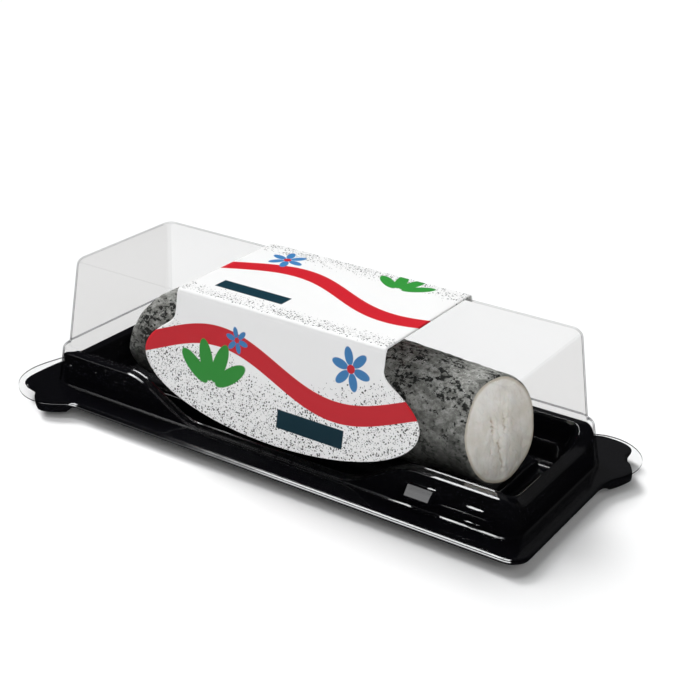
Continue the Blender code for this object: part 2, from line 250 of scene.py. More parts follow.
def flange_outline(tab_right, tab_left, inset):
    """The flange's outline: tabs at +X +Y and at -X -Y, round corners at the other two."""
    def corner(sign_x, sign_y):
        centre = np.array([sign_x * (FLANGE_X - FLANGE_ROUND), sign_y * (FLANGE_Y - FLANGE_ROUND)])
        middle = math.atan2(sign_y, sign_x)
        turns = middle + np.linspace(-math.pi / 4, math.pi / 4, 15)
        return [centre + (FLANGE_ROUND - inset) * np.array([math.cos(a), math.sin(a)]) for a in turns]

    right = smooth_run(tab_right)
    left = [-point for point in smooth_run(tab_left)]
    outline = np.array(corner(1, -1) + right + corner(-1, 1) + left)
    return outline + np.array([FLANGE_SHIFT - PACK_X, 0.0])


def reach_outline(points, outs, outline):
    """Where lines from the points along their outward directions meet the outline."""
    parallel = 1e-12
    slack = 1e-6
    never = 1e9
    edge = np.roll(outline, -1, axis=0) - outline
    cross = outs[:, None, 0] * edge[None, :, 1] - outs[:, None, 1] * edge[None, :, 0]
    cross = np.where(np.abs(cross) < parallel, parallel, cross)
    offset = outline[None] - points[:, None]
    along = (offset[..., 0] * edge[None, :, 1] - offset[..., 1] * edge[None, :, 0]) / cross
    where = (offset[..., 0] * outs[:, None, 1] - offset[..., 1] * outs[:, None, 0]) / cross
    good = (along > 0) & (where >= -slack) & (where <= 1 + slack)
    best = np.where(good, along, never).min(axis=1)
    return points + outs * best[:, None]


def rail_height(x, y):
    """Top of the rail: it dips in the middle of the long sides and is lower along the end walls."""
    climb = ease(np.abs(x), *RAIL_CLIMB)
    fall = ease(np.abs(x) - np.abs(y), *RAIL_FALL)
    return LEDGE_Z + RAIL_DIP + (RAIL_RISE - RAIL_DIP) * climb - (RAIL_RISE - END_RISE) * fall


def on_rail(rise):
    """A height that follows the top of the rail."""
    return lambda x, y: rail_height(x, y) + rise


def level_ring(level, height, grow=0.0):
    """The ring of a level, grown or shrunk, at one height or at a height that follows the rail."""
    points, _ = ring_places(tuple(v + grow for v in level))
    z = height(points[:, 0], points[:, 1]) if callable(height) else np.full(len(points), float(height))
    return np.column_stack([points, z])


def flange_ring(foot, outline, height, setback=0.0, drop_rim=0.0, drop_skirt=0.0, drop_edge=0.0):
    """The foot ring carried out to the flange's outline, less a setback, dropped at the rim, at the
    skirt on the near side of each tab and a little at the tab's other edges."""
    points, outs = ring_places(foot)
    edge = reach_outline(points, outs, outline) - setback * outs
    x, y = edge[:, 0], edge[:, 1]
    beyond = np.maximum(np.abs(x - (FLANGE_SHIFT - PACK_X)) - FLANGE_X, np.abs(y) - FLANGE_Y)
    tab = np.where(x * y > 0, ease(beyond, *TAB_BEGIN), 0.0)
    far = np.where(x > 0, ease(y, *SKIRT_END_RIGHT), ease(-x, *SKIRT_END_LEFT))
    drop = drop_rim + tab * (drop_skirt + (drop_edge - drop_skirt) * far - drop_rim)
    return np.column_stack([edge, height - drop])


def rounded(rings, bends, steps=5):
    """The rings with every bend rounded and a close ring on each side, so that flat strips shade flat."""
    bend_share = 0.46
    close_share = 0.03
    close_limit = 0.12
    out = [rings[0]]
    for k in range(1, len(rings) - 1):
        here = rings[k]
        back = rings[k - 1] - here
        ahead = rings[k + 1] - here
        back_length = np.linalg.norm(back, axis=1, keepdims=True)
        ahead_length = np.linalg.norm(ahead, axis=1, keepdims=True)
        shorter = np.minimum(back_length, ahead_length)
        cut = np.minimum(bends[k], bend_share * shorter)
        close = np.minimum(close_limit, close_share * shorter)
        start = here + back / back_length * cut
        end = here + ahead / ahead_length * cut
        out.append(start + back / back_length * close)
        for t in np.linspace(0.0, 1.0, steps):
            out.append((1 - t) ** 2 * start + 2 * t * (1 - t) * here + t * t * end)
        out.append(end + ahead / ahead_length * close)
    out.append(rings[-1])
    return out


def subdivided(rings, longest):
    """More rings, so that no strip between two of them is wider than the longest allowed."""
    out = [rings[0]]
    for a, b in zip(rings, rings[1:]):
        parts = max(1, int(math.ceil(np.linalg.norm(b - a, axis=1).max() / longest)))
        out += [a + (b - a) * (k / parts) for k in range(1, parts + 1)]
    return out


def ring_normals(rings):
    """Directions square to the sheet at each point of its rings."""
    places = np.array(rings)
    around = np.roll(places, -1, axis=1) - np.roll(places, 1, axis=1)
    along = np.gradient(places, axis=0)
    normal = np.cross(around, along)
    normal /= np.maximum(np.linalg.norm(normal, axis=2, keepdims=True), 1e-9)
    return normal


def shell(name, rings, wall, material, replaced):
    """A closed sheet from rings that run from its rim to the edge of its flat middle."""
    upper = np.array(rings)
    normal = ring_normals(rings)
    if normal[-1, :, 2].mean() < 0:
        normal = -normal
    lower = upper - wall * normal
    rows = np.concatenate([upper, lower[::-1]])
    total, count = rows.shape[:2]
    faces = []
    middle = len(rings) - 1
    for r in range(total):
        s = (r + 1) % total
        if r == middle:
            faces.append([r * count + i for i in range(count)])
            faces.append([s * count + i for i in reversed(range(count))])
            continue
        for i in range(count):
            j = (i + 1) % count
            faces.append((r * count + i, r * count + j, s * count + j, s * count + i))
    verts = rows.reshape(-1, 3) + np.array([PACK_X, 0.0, 0.0])
    return mesh_piece(name, verts, faces, material, replaced)


# Nodes

class Nodes:
    """Short ways to add nodes to one node tree."""

    def __init__(self, tree):
        self.tree = tree

    def add(self, kind):
        return self.tree.nodes.new(kind)

    def put(self, where, value):
        """A socket is linked to the input, and anything else becomes the input's own value."""
        if isinstance(value, bpy.types.NodeSocket):
            self.tree.links.new(value, where)
        else:
            where.default_value = value

    def math(self, operation, *values):
        node = self.add("ShaderNodeMath")
        node.operation = operation
        for where, value in zip(node.inputs, values):
            self.put(where, value)
        return node.outputs[0]

    def size(self, value):
        return self.math("ABSOLUTE", value)

    def largest(self, first, *others):
        for other in others:
            first = self.math("MAXIMUM", first, other)
        return first

    def between(self, value, low, high, out_low=0.0, out_high=1.0):
        """A soft step from one value at the low end to another at the high end."""
        node = self.add("ShaderNodeMapRange")
        node.interpolation_type = "SMOOTHSTEP"
        self.put(node.inputs["Value"], value)
        node.inputs["From Min"].default_value = low
        node.inputs["From Max"].default_value = high
        node.inputs["To Min"].default_value = out_low
        node.inputs["To Max"].default_value = out_high
        return node.outputs[0]

    def mix(self, share, a, b):
        """The first colour where the share is 0 and the second where it is 1."""
        node = self.add("ShaderNodeMix")
        node.data_type = "RGBA"
        self.put(node.inputs[0], share)
        self.put(node.inputs[6], a if isinstance(a, bpy.types.NodeSocket) else (*a, 1.0))
        self.put(node.inputs[7], b if isinstance(b, bpy.types.NodeSocket) else (*b, 1.0))
        return node.outputs[2]

    def split(self, vector):
        """The three parts of a vector or a colour."""
        node = self.add("ShaderNodeSeparateXYZ")
        self.put(node.inputs[0], vector)
        return list(node.outputs)

    def toward(self, vector, direction):
        """How nearly the vector points in the direction, 1 where it does."""
        node = self.add("ShaderNodeVectorMath")
        node.operation = "DOT_PRODUCT"
        self.put(node.inputs[0], vector)
        node.inputs[1].default_value = Vector(direction).normalized()
        return node.outputs["Value"]

    def coords(self, kind="Object"):
        return self.add("ShaderNodeTexCoord").outputs[kind]

    def attribute(self, name):
        node = self.add("ShaderNodeAttribute")
        node.attribute_name = name
        return node.outputs["Fac"]

    def mapped(self, source, scale, location=(0, 0, 0)):
        node = self.add("ShaderNodeMapping")
        self.put(node.inputs["Vector"], source)
        node.inputs["Location"].default_value = location
        node.inputs["Scale"].default_value = scale
        return node.outputs[0]

    def noise(self, source, scale, detail=2.0, rough=0.5, distortion=0.0):
        node = self.add("ShaderNodeTexNoise")
        self.put(node.inputs["Vector"], source)
        node.inputs["Scale"].default_value = scale
        node.inputs["Detail"].default_value = detail
        node.inputs["Roughness"].default_value = rough
        node.inputs["Distortion"].default_value = distortion
        return node.outputs["Fac"]

    def cells(self, source, scale, output):
        node = self.add("ShaderNodeTexVoronoi")
        self.put(node.inputs["Vector"], source)
        node.inputs["Scale"].default_value = scale
        return node.outputs[output]

    def bump(self, height, strength, distance):
        node = self.add("ShaderNodeBump")
        node.inputs["Strength"].default_value = strength
        node.inputs["Distance"].default_value = distance
        self.put(node.inputs["Height"], height)
        return node.outputs[0]


class Graph(Nodes):
    """The nodes of one new material."""

    def __init__(self, name):
        self.material = bpy.data.materials.new(name)
        self.material.use_nodes = True
        super().__init__(self.material.node_tree)
        self.shader = self.tree.nodes["Principled BSDF"]
        self.output = self.tree.nodes["Material Output"]

    def set(self, **values):
        for key, value in values.items():
            self.put(self.shader.inputs[key.replace("_", " ")], value)


# Materials

def black_plastic():
    """Glossy black sheet with slow faint waves in its gloss."""
    g = Graph("black_plastic")
    place = g.coords()
    slow = g.noise(place, 34.0, 2.0, 0.5)
    fine = g.noise(place, 420.0, 3.0, 0.6)
    g.set(Base_Color=g.mix(fine, (0.0022, 0.0022, 0.0030), (0.0042, 0.0042, 0.0056)),
          Roughness=g.between(fine, 0.3, 0.7, 0.03, 0.06),
          Normal=g.bump(slow, 0.10, 0.002),
          IOR=1.7,
          Specular_IOR_Level=1.0)
    return g.material


def clear_tint_and_shade(g, place, facing):
    """Tint of the clear sheet, with painted shade that makes it greyer at its +X end wall, folds, slanted
    bends and cut edge.
    """
    clear = (0.962, 0.962, 0.962)
    end_wall_shade = (0.890, 0.887, 0.885)
    fold_shade = (0.925, 0.925, 0.925)
    bend_shade = (0.34, 0.34, 0.35)
    slant_shade = (0.72, 0.72, 0.73)
    cut_edge_shade = (0.03, 0.03, 0.032)
    normal_x, normal_y, normal_z = g.split(g.coords("Normal"))
    upright = g.between(g.size(normal_z), 0.70, 0.80, 1.0, 0.0)
    below_top = g.between(g.split(place)[2], (LID_LEDGE_Z - 0.04) * MM, (LID_LEDGE_Z + 0.02) * MM, 1.0, 0.0)
    largest = g.largest(g.size(normal_x), g.size(normal_y), g.size(normal_z))
    bent = g.math("MULTIPLY", g.between(largest, 0.90, 0.975, 1.0, 0.0), g.between(facing, 0.68, 0.82))
    # Painted shade: the +X end wall, the folds, the bends seen on the slant, the sheet seen on the slant
    # and the cut edge are tinted greyer.
    tint = g.mix(g.between(normal_x, 0.6, 0.95), clear, end_wall_shade)
    tint = g.mix(g.between(largest, 0.715, 0.775, 1.0, 0.0), tint, fold_shade)
    tint = g.mix(bent, tint, bend_shade)
    tint = g.mix(g.between(facing, 0.84, 1.0), tint, slant_shade)
    return g.mix(g.math("MULTIPLY", upright, below_top), tint, cut_edge_shade)


def clear_plastic():
    """Thin clear sheet: light goes straight through, edges seen on the slant are greyer with painted shade,
    and glossier.
    """
    g = Graph("clear_plastic")
    g.tree.nodes.remove(g.shader)
    place = g.coords()
    weight = g.add("ShaderNodeLayerWeight")
    weight.inputs["Blend"].default_value = 0.5
    facing = weight.outputs["Facing"]
    through = g.add("ShaderNodeBsdfTransparent")
    g.put(through.inputs["Color"], clear_tint_and_shade(g, place, facing))
    shine = g.add("ShaderNodeBsdfGlossy")
    shine.inputs["Roughness"].default_value = 0.04
    g.put(shine.inputs["Normal"], g.bump(g.noise(place, 30.0, 1.0, 0.5), 0.05, 0.002))
    both = g.add("ShaderNodeMixShader")
    g.put(both.inputs[0], g.between(facing, 0.62, 1.0, 0.002, 0.12))
    g.put(both.inputs[1], through.outputs[0])
    g.put(both.inputs[2], shine.outputs[0])
    g.put(g.output.inputs["Surface"], both.outputs[0])
    return g.material


def ash_rind():
    """Grey ash rind: pale felt with mid-grey mottling and black flecks, darker where it faces down, from
    painted shade and more ash there.
    """
    g = Graph("ash_rind")
    grey_felt = (0.18, 0.182, 0.168)
    pale_felt = (0.46, 0.465, 0.44)
    mottle = (0.13, 0.132, 0.125)
    soot = (0.022, 0.023, 0.022)
    ash_and_shade_below = (0.05, 0.052, 0.048)
    place = g.coords()
    long_way = g.mapped(place, (0.8, 1.0, 1.0))
    broad = g.noise(long_way, 70.0, 3.0, 0.6, 0.3)
    medium = g.noise(long_way, 420.0, 5.0, 0.66, 0.2)
    flecks = g.noise(g.mapped(place, (0.85, 1.0, 1.0), (0.37, 0.11, 0.05)), 640.0, 5.0, 0.70, 0.25)
    fine = g.noise(place, 1300.0, 3.0, 0.7)
    felt = g.mix(g.between(medium, 0.36, 0.64), grey_felt, pale_felt)
    felt = g.mix(g.between(fine, 0.40, 0.66, 0.0, 0.48), felt, mottle)
    level = g.math("ADD", flecks, g.between(broad, 0.35, 0.65, 0.080, -0.065))
    normal_z = g.split(g.coords("Normal"))[2]
    colour = g.mix(g.between(level, 0.535, 0.60), felt, soot)
    # Painted shade, with some more ash: the rind is darker where it faces down.
    colour = g.mix(g.between(normal_z, -0.4, 0.70, 0.82, 0.0), colour, ash_and_shade_below)
    height = g.math("ADD", g.math("MULTIPLY", medium, 0.7), g.math("MULTIPLY", fine, 0.3))
    g.set(Base_Color=colour, Normal=g.bump(height, 0.8, 0.001), Roughness=0.85, Specular_IOR_Level=0.2)
    return g.material


def cheese_paste():
    """White paste of the cut face, with a thin creamy edge and painted shade in the depth of its cracks."""
    g = Graph("cheese_paste")
    cream = (0.81, 0.775, 0.70)
    white = (0.93, 0.905, 0.855)
    creamy_edge = (0.62, 0.565, 0.47)
    crack_shade = (0.42, 0.35, 0.25)
    place = g.coords()
    soft = g.noise(place, 120.0, 4.0, 0.6)
    fine = g.noise(place, 800.0, 3.0, 0.6)
    colour = g.mix(g.between(soft, 0.35, 0.65), cream, white)
    colour = g.mix(g.between(g.attribute("ring"), 0.92, 0.985), colour, creamy_edge)
    # Painted shade: the paste is darkened towards brown where the crack mask is deep.
    colour = g.mix(g.between(g.attribute("crack"), 0.35, 1.0, 0.0, 0.75), colour, crack_shade)
    height = g.math("ADD", g.math("MULTIPLY", soft, 0.8), g.math("MULTIPLY", fine, 0.2))
    g.set(Base_Color=colour, Normal=g.bump(height, 0.9, 0.001), Roughness=0.55,
          Subsurface_Weight=0.12, Subsurface_Scale=0.002)
    return g.material


class Print:
    """Masks of the card's print. In millimetres, u runs across the card and v down from its front fold."""

    def __init__(self, graph, u, v):
        self.g = graph
        self.u = u
        self.v = v

    def away(self, cu, cv):
        return self.g.math("SUBTRACT", self.u, cu), self.g.math("SUBTRACT", self.v, cv)

    def inside(self, value, limit, soft=0.1):
        """1 well inside the limit and 0 well outside it."""
        return self.g.between(value, limit - soft, limit + soft, 1.0, 0.0)

    def disc(self, cu, cv, a, b, turn=0.0):
        """A filled oval of half length a and half height b, turned about its centre."""
        g = self.g
        du, dv = self.away(cu, cv)
        c, s = math.cos(turn), math.sin(turn)
        p = g.math("ADD", g.math("MULTIPLY", du, c / a), g.math("MULTIPLY", dv, s / a))
        q = g.math("ADD", g.math("MULTIPLY", du, -s / b), g.math("MULTIPLY", dv, c / b))
        far = g.math("SQRT", g.math("ADD", g.math("MULTIPLY", p, p), g.math("MULTIPLY", q, q)))
        return self.inside(far, 1.0, 0.12 / min(a, b))

    def bar(self, cu, cv, a, b):
        """A filled oblong of half length a and half height b."""
        du, dv = self.away(cu, cv)
        return self.g.math("MULTIPLY", self.inside(self.g.size(du), a), self.inside(self.g.size(dv), b))

    def wave(self, cv, rise, length, shift, width):
        """A band that swings up and down across the card."""
        g = self.g
        turn = g.math("MULTIPLY", g.math("SUBTRACT", self.u, shift), 2 * math.pi / length)
        swing = g.math("MULTIPLY", g.math("SINE", turn), rise)
        off = g.math("SUBTRACT", g.math("SUBTRACT", self.v, cv), swing)
        return self.inside(g.size(off), width / 2)


def ash_specks(g, u, v, flat):
    """Specks of two sizes, thick low on the lobe, on top behind the front fold and at the rear."""
    aside = g.math("MULTIPLY", g.size(g.math("SUBTRACT", u, LOBE_X)), 0.33)
    lower = g.between(g.math("ADD", v, aside), 22.0, 33.0)
    shoulder = g.math("MULTIPLY", g.between(v, -8.0, -2.0), g.between(v, -0.5, 0.5, 1.0, 0.0))
    rear = g.between(v, -50.0, -42.0, 1.0, 0.0)
    patchy = g.between(g.noise(flat, 0.16, 2.0, 0.6), 0.30, 0.62, 0.35, 1.0)
    drift = g.math("MULTIPLY", g.largest(lower, shoulder, rear), patchy)
    masks = []
    for scale, heart, edge, share in ((1.05, 0.24, 0.38, 0.95), (2.2, 0.22, 0.38, 0.9)):
        dots = g.between(g.cells(flat, scale, "Distance"), heart, edge, 1.0, 0.0)
        chance = g.split(g.cells(flat, scale, "Color"))[0]
        chosen = g.math("LESS_THAN", chance, g.math("MULTIPLY", drift, share))
        masks.append(g.math("MULTIPLY", dots, chosen))
    return g.largest(*masks)


def printed_card():
    """White card with a plain print of waves, leaves, bars, flowers and ash specks."""
    g = Graph("printed_card")
    red = (0.62, 0.016, 0.028)
    green = (0.035, 0.30, 0.045)
    teal = (0.006, 0.036, 0.055)
    blue = (0.05, 0.22, 0.50)
    ash = (0.04, 0.04, 0.042)
    uv = g.coords("UV")
    across, down, _ = g.split(uv)
    u = g.math("MULTIPLY", across, UV_UNIT)
    v = g.math("MULTIPLY", down, UV_UNIT)
    flat = g.mapped(uv, (UV_UNIT, UV_UNIT, 0.0))
    art = Print(g, u, v)
    # Painted light: the card's white is a little darker over the top than down the front lobe, to even out
    # the stronger light falling on the top.
    colour = g.mix(g.between(v, -2.0, 2.0), (0.90, 0.90, 0.895), (0.93, 0.93, 0.93))
    colour = g.mix(ash_specks(g, u, v, flat), colour, ash)

    colour = g.mix(art.wave(19.0, 6.5, 96.0, LOBE_X, 7.0), colour, red)
    colour = g.mix(art.wave(-27.0, 7.5, 92.0, 10.0, 7.5), colour, red)
    for cu, cv, scale in ((-21.0, 31.0, 1.6), (22.0, -41.0, 1.3)):
        for turn in (-0.9, -0.3, 0.3, 0.9):
            lean = turn - math.pi / 2
            leaf_u = cu + 6.0 * scale * math.cos(lean)
            leaf_v = cv + 6.0 * scale * math.sin(lean)
            colour = g.mix(art.disc(leaf_u, leaf_v, 4.6 * scale, 1.7 * scale, lean), colour, green)
    for cu, cv, a, b in ((20.0, 34.0, 13.0, 3.2), (-16.0, -11.0, 14.0, 3.0)):
        colour = g.mix(art.bar(cu, cv, a, b), colour, teal)
    for cu, cv, r in ((33.0, 10.0, 7.4), (-24.0, -42.0, 7.0), (-12.0, 12.0, 4.6)):
        for k in range(6):
            turn = math.radians(60 * k + 12)
            petal_u = cu + 0.58 * r * math.cos(turn)
            petal_v = cv + 0.58 * r * math.sin(turn)
            colour = g.mix(art.disc(petal_u, petal_v, 0.42 * r, 0.21 * r, turn), colour, blue)
        colour = g.mix(art.disc(cu, cv, 0.2 * r, 0.2 * r), colour, red)

    fibre = g.noise(flat, 12.0, 2.0, 0.6)
    g.set(Base_Color=colour, Roughness=g.between(fibre, 0.3, 0.7, 0.36, 0.5),
          Normal=g.bump(fibre, 0.05, 0.0003))
    return g.material


# Pieces

def build_tray(material):
    """The tray's sheet: flange, outer wall, rail with a low inner lip, gutter and cradle."""
    outline = flange_outline(TAB_RIGHT_TRAY, TAB_LEFT_TRAY, TRAY_INSET)
    # Each row has a level, a height, how much the level grows and the size of the bend.
    profile = [(TRAY_FOOT, LEDGE_Z, 0.66, 0.12),
               (TRAY_FOOT, LEDGE_Z + 0.40, 0.0, 0.12),
               (TRAY_SHOULDER, on_rail(-0.8), 0.0, 0.15),
               (RAIL_OUTER, on_rail(-0.42), 0.30, 0.12),
               (RAIL_OUTER, on_rail(0.0), -0.45, 0.15),
               (RAIL_INNER, on_rail(0.0), 0.80, 0.1),
               (RAIL_INNER, on_rail(0.28), 0.28, 0.1),
               (RAIL_INNER, on_rail(0.20), 0.0, 0.1),
               (CAVITY_RIM, on_rail(-0.8), 0.0, 0.35),
               (GUTTER_OUTER, TRAY_WALL, 0.0, 1.2),
               (GUTTER_INNER, TRAY_WALL, 0.0, 1.2),
               (CRADLE_EDGE, CRADLE_Z + CRADLE_LIP, 0.0, 1.2),
               (CRADLE_FLOOR, CRADLE_Z, 0.0, 0.0)]
    rings = [flange_ring(TRAY_FOOT, outline, LEDGE_Z, *row[:4]) for row in TRAY_RIM]
    rings += [level_ring(*row[:3]) for row in profile]
    bends = [row[-1] for row in TRAY_RIM + profile]
    rings = subdivided(rounded(rings, bends), 5.0)
    return shell("tray_sheet", rings, TRAY_WALL, material, "tray")


def dome_level(rise):
    """The tapering dome's level at a height above the tray's flange."""
    t = (rise - STEP_RISE) / (DOME_RISE - STEP_RISE)
    return tuple(low + (high - low) * t for low, high in zip(STEP_INNER, DOME_TOP))


def build_lid(material):
    """The lid's sheet: flange, collar, step and tapering dome with a round fold at its top."""
    outline = flange_outline(TAB_RIGHT_LID, TAB_LEFT_LID, 0.0)
    rings = [flange_ring(LID_FOOT, outline, LID_LEDGE_Z),
             flange_ring(LID_FOOT, outline, LID_LEDGE_Z, 0.08),
             level_ring(LID_FOOT, LID_LEDGE_Z),
             level_ring(COLLAR_TOP, LEDGE_Z + COLLAR_RISE),
             level_ring(STEP_INNER, LEDGE_Z + STEP_RISE)]
    bends = [0.0, 0.03, 0.8, 0.6, 0.6]
    for step in range(DOME_FOLD_STEPS + 1):
        angle = math.radians(90.0 * step / DOME_FOLD_STEPS)
        sink = DOME_FOLD * (1.0 - math.sin(angle))
        inward = DOME_FOLD * (1.0 - math.cos(angle))
        rings.append(level_ring(dome_level(DOME_RISE - sink), LEDGE_Z + DOME_RISE - sink, -inward))
    bent = len(bends) + 1
    rings = rounded(rings[:bent], bends, 4) + rings[bent:]
    lid = shell("lid_sheet", rings, LID_SHEET, material, "lid")
    lid.visible_shadow = False
    return lid


def wall_lug(name, x0, x1, z_top, z_foot, reach, material):
    """A pressed lug on the front wall: it slopes out and down from the wall and ends in a round foot."""
    columns, rows = 48, 30
    margin = 0.6
    sunk = 0.06
    start = z_top + 0.5
    run = z_top - z_foot + 1.4
    verts = []
    for b in range(rows + 1):
        t = b / rows
        z = start - run * t
        slope = float(np.clip((z_top - z) / (z_top - z_foot), 0.0, 1.0))
        slope *= float(ease(z, z_foot - 0.8, z_foot + 0.1))
        for a in range(columns + 1):
            x = x0 - margin + (x1 - x0 + 2 * margin) * a / columns
            side = float(ease(min(x - x0, x1 - x), -margin, 0.25))
            verts.append((x, WALL_Y + sunk - (reach * slope + sunk) * side, z))
    n = columns + 1
    faces = [(r * n + c, r * n + c + 1, (r + 1) * n + c + 1, (r + 1) * n + c)
             for r in range(rows) for c in range(columns)]
    return mesh_piece(name, verts, faces, material)


def small_marks(name, marks, material):
    """Low round ribs and bumps pressed out of the sheet."""
    around, up = 24, 12
    verts = []
    faces = []
    for centre, half in marks:
        faces += grid_faces(up + 1, around, len(verts))
        for k in range(up + 1):
            polar = math.pi * k / up
            for i in range(around):
                a = 2 * math.pi * i / around
                out_x = abs(math.cos(a)) ** 0.7 * math.copysign(1, math.cos(a))
                out_y = abs(math.sin(a)) ** 0.9 * math.copysign(1, math.sin(a))
                verts.append((centre[0] + half[0] * math.sin(polar) * out_x,
                              centre[1] + half[1] * math.sin(polar) * out_y,
                              centre[2] + half[2] * math.cos(polar)))
    return mesh_piece(name, verts, faces, material)


def pressed_ribs(name, ribs, material):
    """Short ribs across the front wall, each with a sloped upper side."""
    corners = len(RIB_SECTION)
    verts = []
    faces = []
    for x0, x1, z in ribs:
        base = len(verts)
        for k in range(RIB_STEPS + 1):
            t = k / RIB_STEPS
            size = min(1.0, 0.35 + 3.0 * min(t, 1.0 - t))
            verts += [(x0 + (x1 - x0) * t, WALL_Y + size * y, z + size * up) for y, up in RIB_SECTION]
        faces += grid_faces(RIB_STEPS + 1, corners, base)
        faces.append([base + i for i in reversed(range(corners))])
        faces.append([base + corners * RIB_STEPS + i for i in range(corners)])
    return mesh_piece(name, verts, faces, material, smooth=False)


def fractal_at(places, increment, octaves):
    """Fractal noise of one kind at each of the places."""
    return np.array([noise.fractal(Vector(place), increment, 2.0, octaves) for place in places])


def log_ring(middle, angle):
    """One ring of the rind: thinner to both ends, round at the back, with waves, wrinkles and a lean."""
    toward_cut = float(ease(middle, 0.0, LOG_CUT_X))
    toward_back = float(ease(-middle, 0.0, -LOG_BACK_X))
    radius = LOG_RADIUS - 1.7 * float(ease(middle, 20.0, LOG_CUT_X)) - 1.2 * toward_back
    into_end = min(max((middle - LOG_BACK_X) / 6.0, 0.0), 1.0)
    radius -= 6.0 * (1 - math.sqrt(1 - (1 - into_end) ** 2))
    edge = max(0.0, 1 - (LOG_CUT_X - middle) / 1.2)
    radius -= 0.9 * edge ** 2
    reach = radius + WAVE_SIZE * sum(np.sin(n * angle + k * middle + p) for n, k, p in WAVES)
    wrinkles = fractal_at([(middle / 5.5, 3.1 * math.cos(a), 3.1 * math.sin(a)) for a in angle], 0.8, 4)
    reach = reach + 0.30 * wrinkles * (1 - 0.5 * edge)
    y = reach * np.cos(angle)
    z = reach * np.sin(angle)
    lean = toward_back * (0.40 * y + 0.20 * z) - toward_cut * (-0.19 * y + 0.20 * z)
    centre_z = CRADLE_Z + LOG_GAP + LOG_RADIUS + WAVE_SIZE * len(WAVES)
    return np.column_stack([PACK_X + middle + lean, LOG_Y + y, centre_z + z])


def cut_share(k):
    """How far out a ring of the cut face lies, from 1 at the rim to nearly 0 in the middle."""
    return 1 - k / (CUT_RINGS + 0.5)


def cut_face(rim):
    """Rings of the cut face from its rim inwards, and how deep in a crack each of their points is."""
    hub = rim.mean(axis=0)
    rows = []
    crack_rows = []
    for k in range(1, CUT_RINGS + 1):
        ring = hub + (rim - hub) * cut_share(k)
        across, up = ring[:, 1], ring[:, 2]
        dent = 0.42 * fractal_at([(p[1] / 4.2, p[2] / 4.2, 5.0) for p in ring], 0.8, 4)
        wander = fractal_at([(2.0, p[1] / 9.0, p[2] / 2.4) for p in ring], 0.7, 3)
        patchy = np.array([noise.noise(Vector((p[1] / 1.3, p[2] / 1.5, 11.0))) for p in ring])
        cracked = np.zeros(LOG_SIDES)
        for y, z, tall, wide, deep in CRACKS:
            width = wide * (1.0 + 0.9 * patchy)
            ends = (np.abs(up - z) / tall) ** 4
            off = (np.abs(across - y - 1.5 * wander) / width) ** 2 + ends
            beside = np.abs(across - y - 1.5 * wander - 1.3) / 0.9
            dent -= deep * np.exp(-off)
            dent += 0.35 * deep * np.exp(-beside ** 2 - ends)
            cracked += np.exp(-off)
        ring[:, 0] += dent * min(1.0, k / 4)
        rows.append(ring)
        crack_rows.append(cracked)
    return rows, crack_rows


def build_log(rind, paste):
    """The log from its own rings: flat back, rind with its wrinkles, and cut face with its cracks."""
    angle = np.arange(LOG_SIDES) * 2 * math.pi / LOG_SIDES
    rows = []
    for step in range(LOG_STEPS + 1):
        t = step / LOG_STEPS
        spread = (1 - math.cos(math.pi * t)) / 2 * 0.35 + 0.65 * t
        rows.append(log_ring(LOG_BACK_X + (LOG_CUT_X - LOG_BACK_X) * spread, angle))
    cut_rows, crack_rows = cut_face(rows[-1])
    back = rows[0]
    back_hub = back.mean(axis=0)
    back_rows = [back_hub + (back - back_hub) * (k / BACK_RINGS) for k in range(1, BACK_RINGS)]
    grid = back_rows + rows + cut_rows
    verts = np.concatenate(grid)
    faces = grid_faces(len(grid), LOG_SIDES)
    faces.append([i for i in reversed(range(LOG_SIDES))])
    faces.append([(len(grid) - 1) * LOG_SIDES + i for i in range(LOG_SIDES)])
    obj = mesh_piece("ash_log", verts, faces, rind, "cheese_log")
    obj.data.materials.append(paste)

    first_cut = (len(back_rows) + len(rows)) * LOG_SIDES
    rim_start = first_cut - LOG_SIDES
    shares = np.zeros(len(verts))
    shares[rim_start:first_cut] = 1.0
    shares[first_cut:] = np.repeat([cut_share(k) for k in range(1, CUT_RINGS + 1)], LOG_SIDES)
    cracks = np.zeros(len(verts))
    cracks[first_cut:] = np.concatenate(crack_rows)
    for name, values in (("ring", shares), ("crack", cracks)):
        obj.data.attributes.new(name, "FLOAT", "POINT").data.foreach_set("value", values)
    for polygon in obj.data.polygons:
        if min(polygon.vertices) >= rim_start:
            polygon.material_index = 1
    return obj


def blended(a, b):
    """The larger of two lengths, with a round corner where they are nearly alike."""
    power = 12
    return (a ** power + b ** power) ** (1 / power)


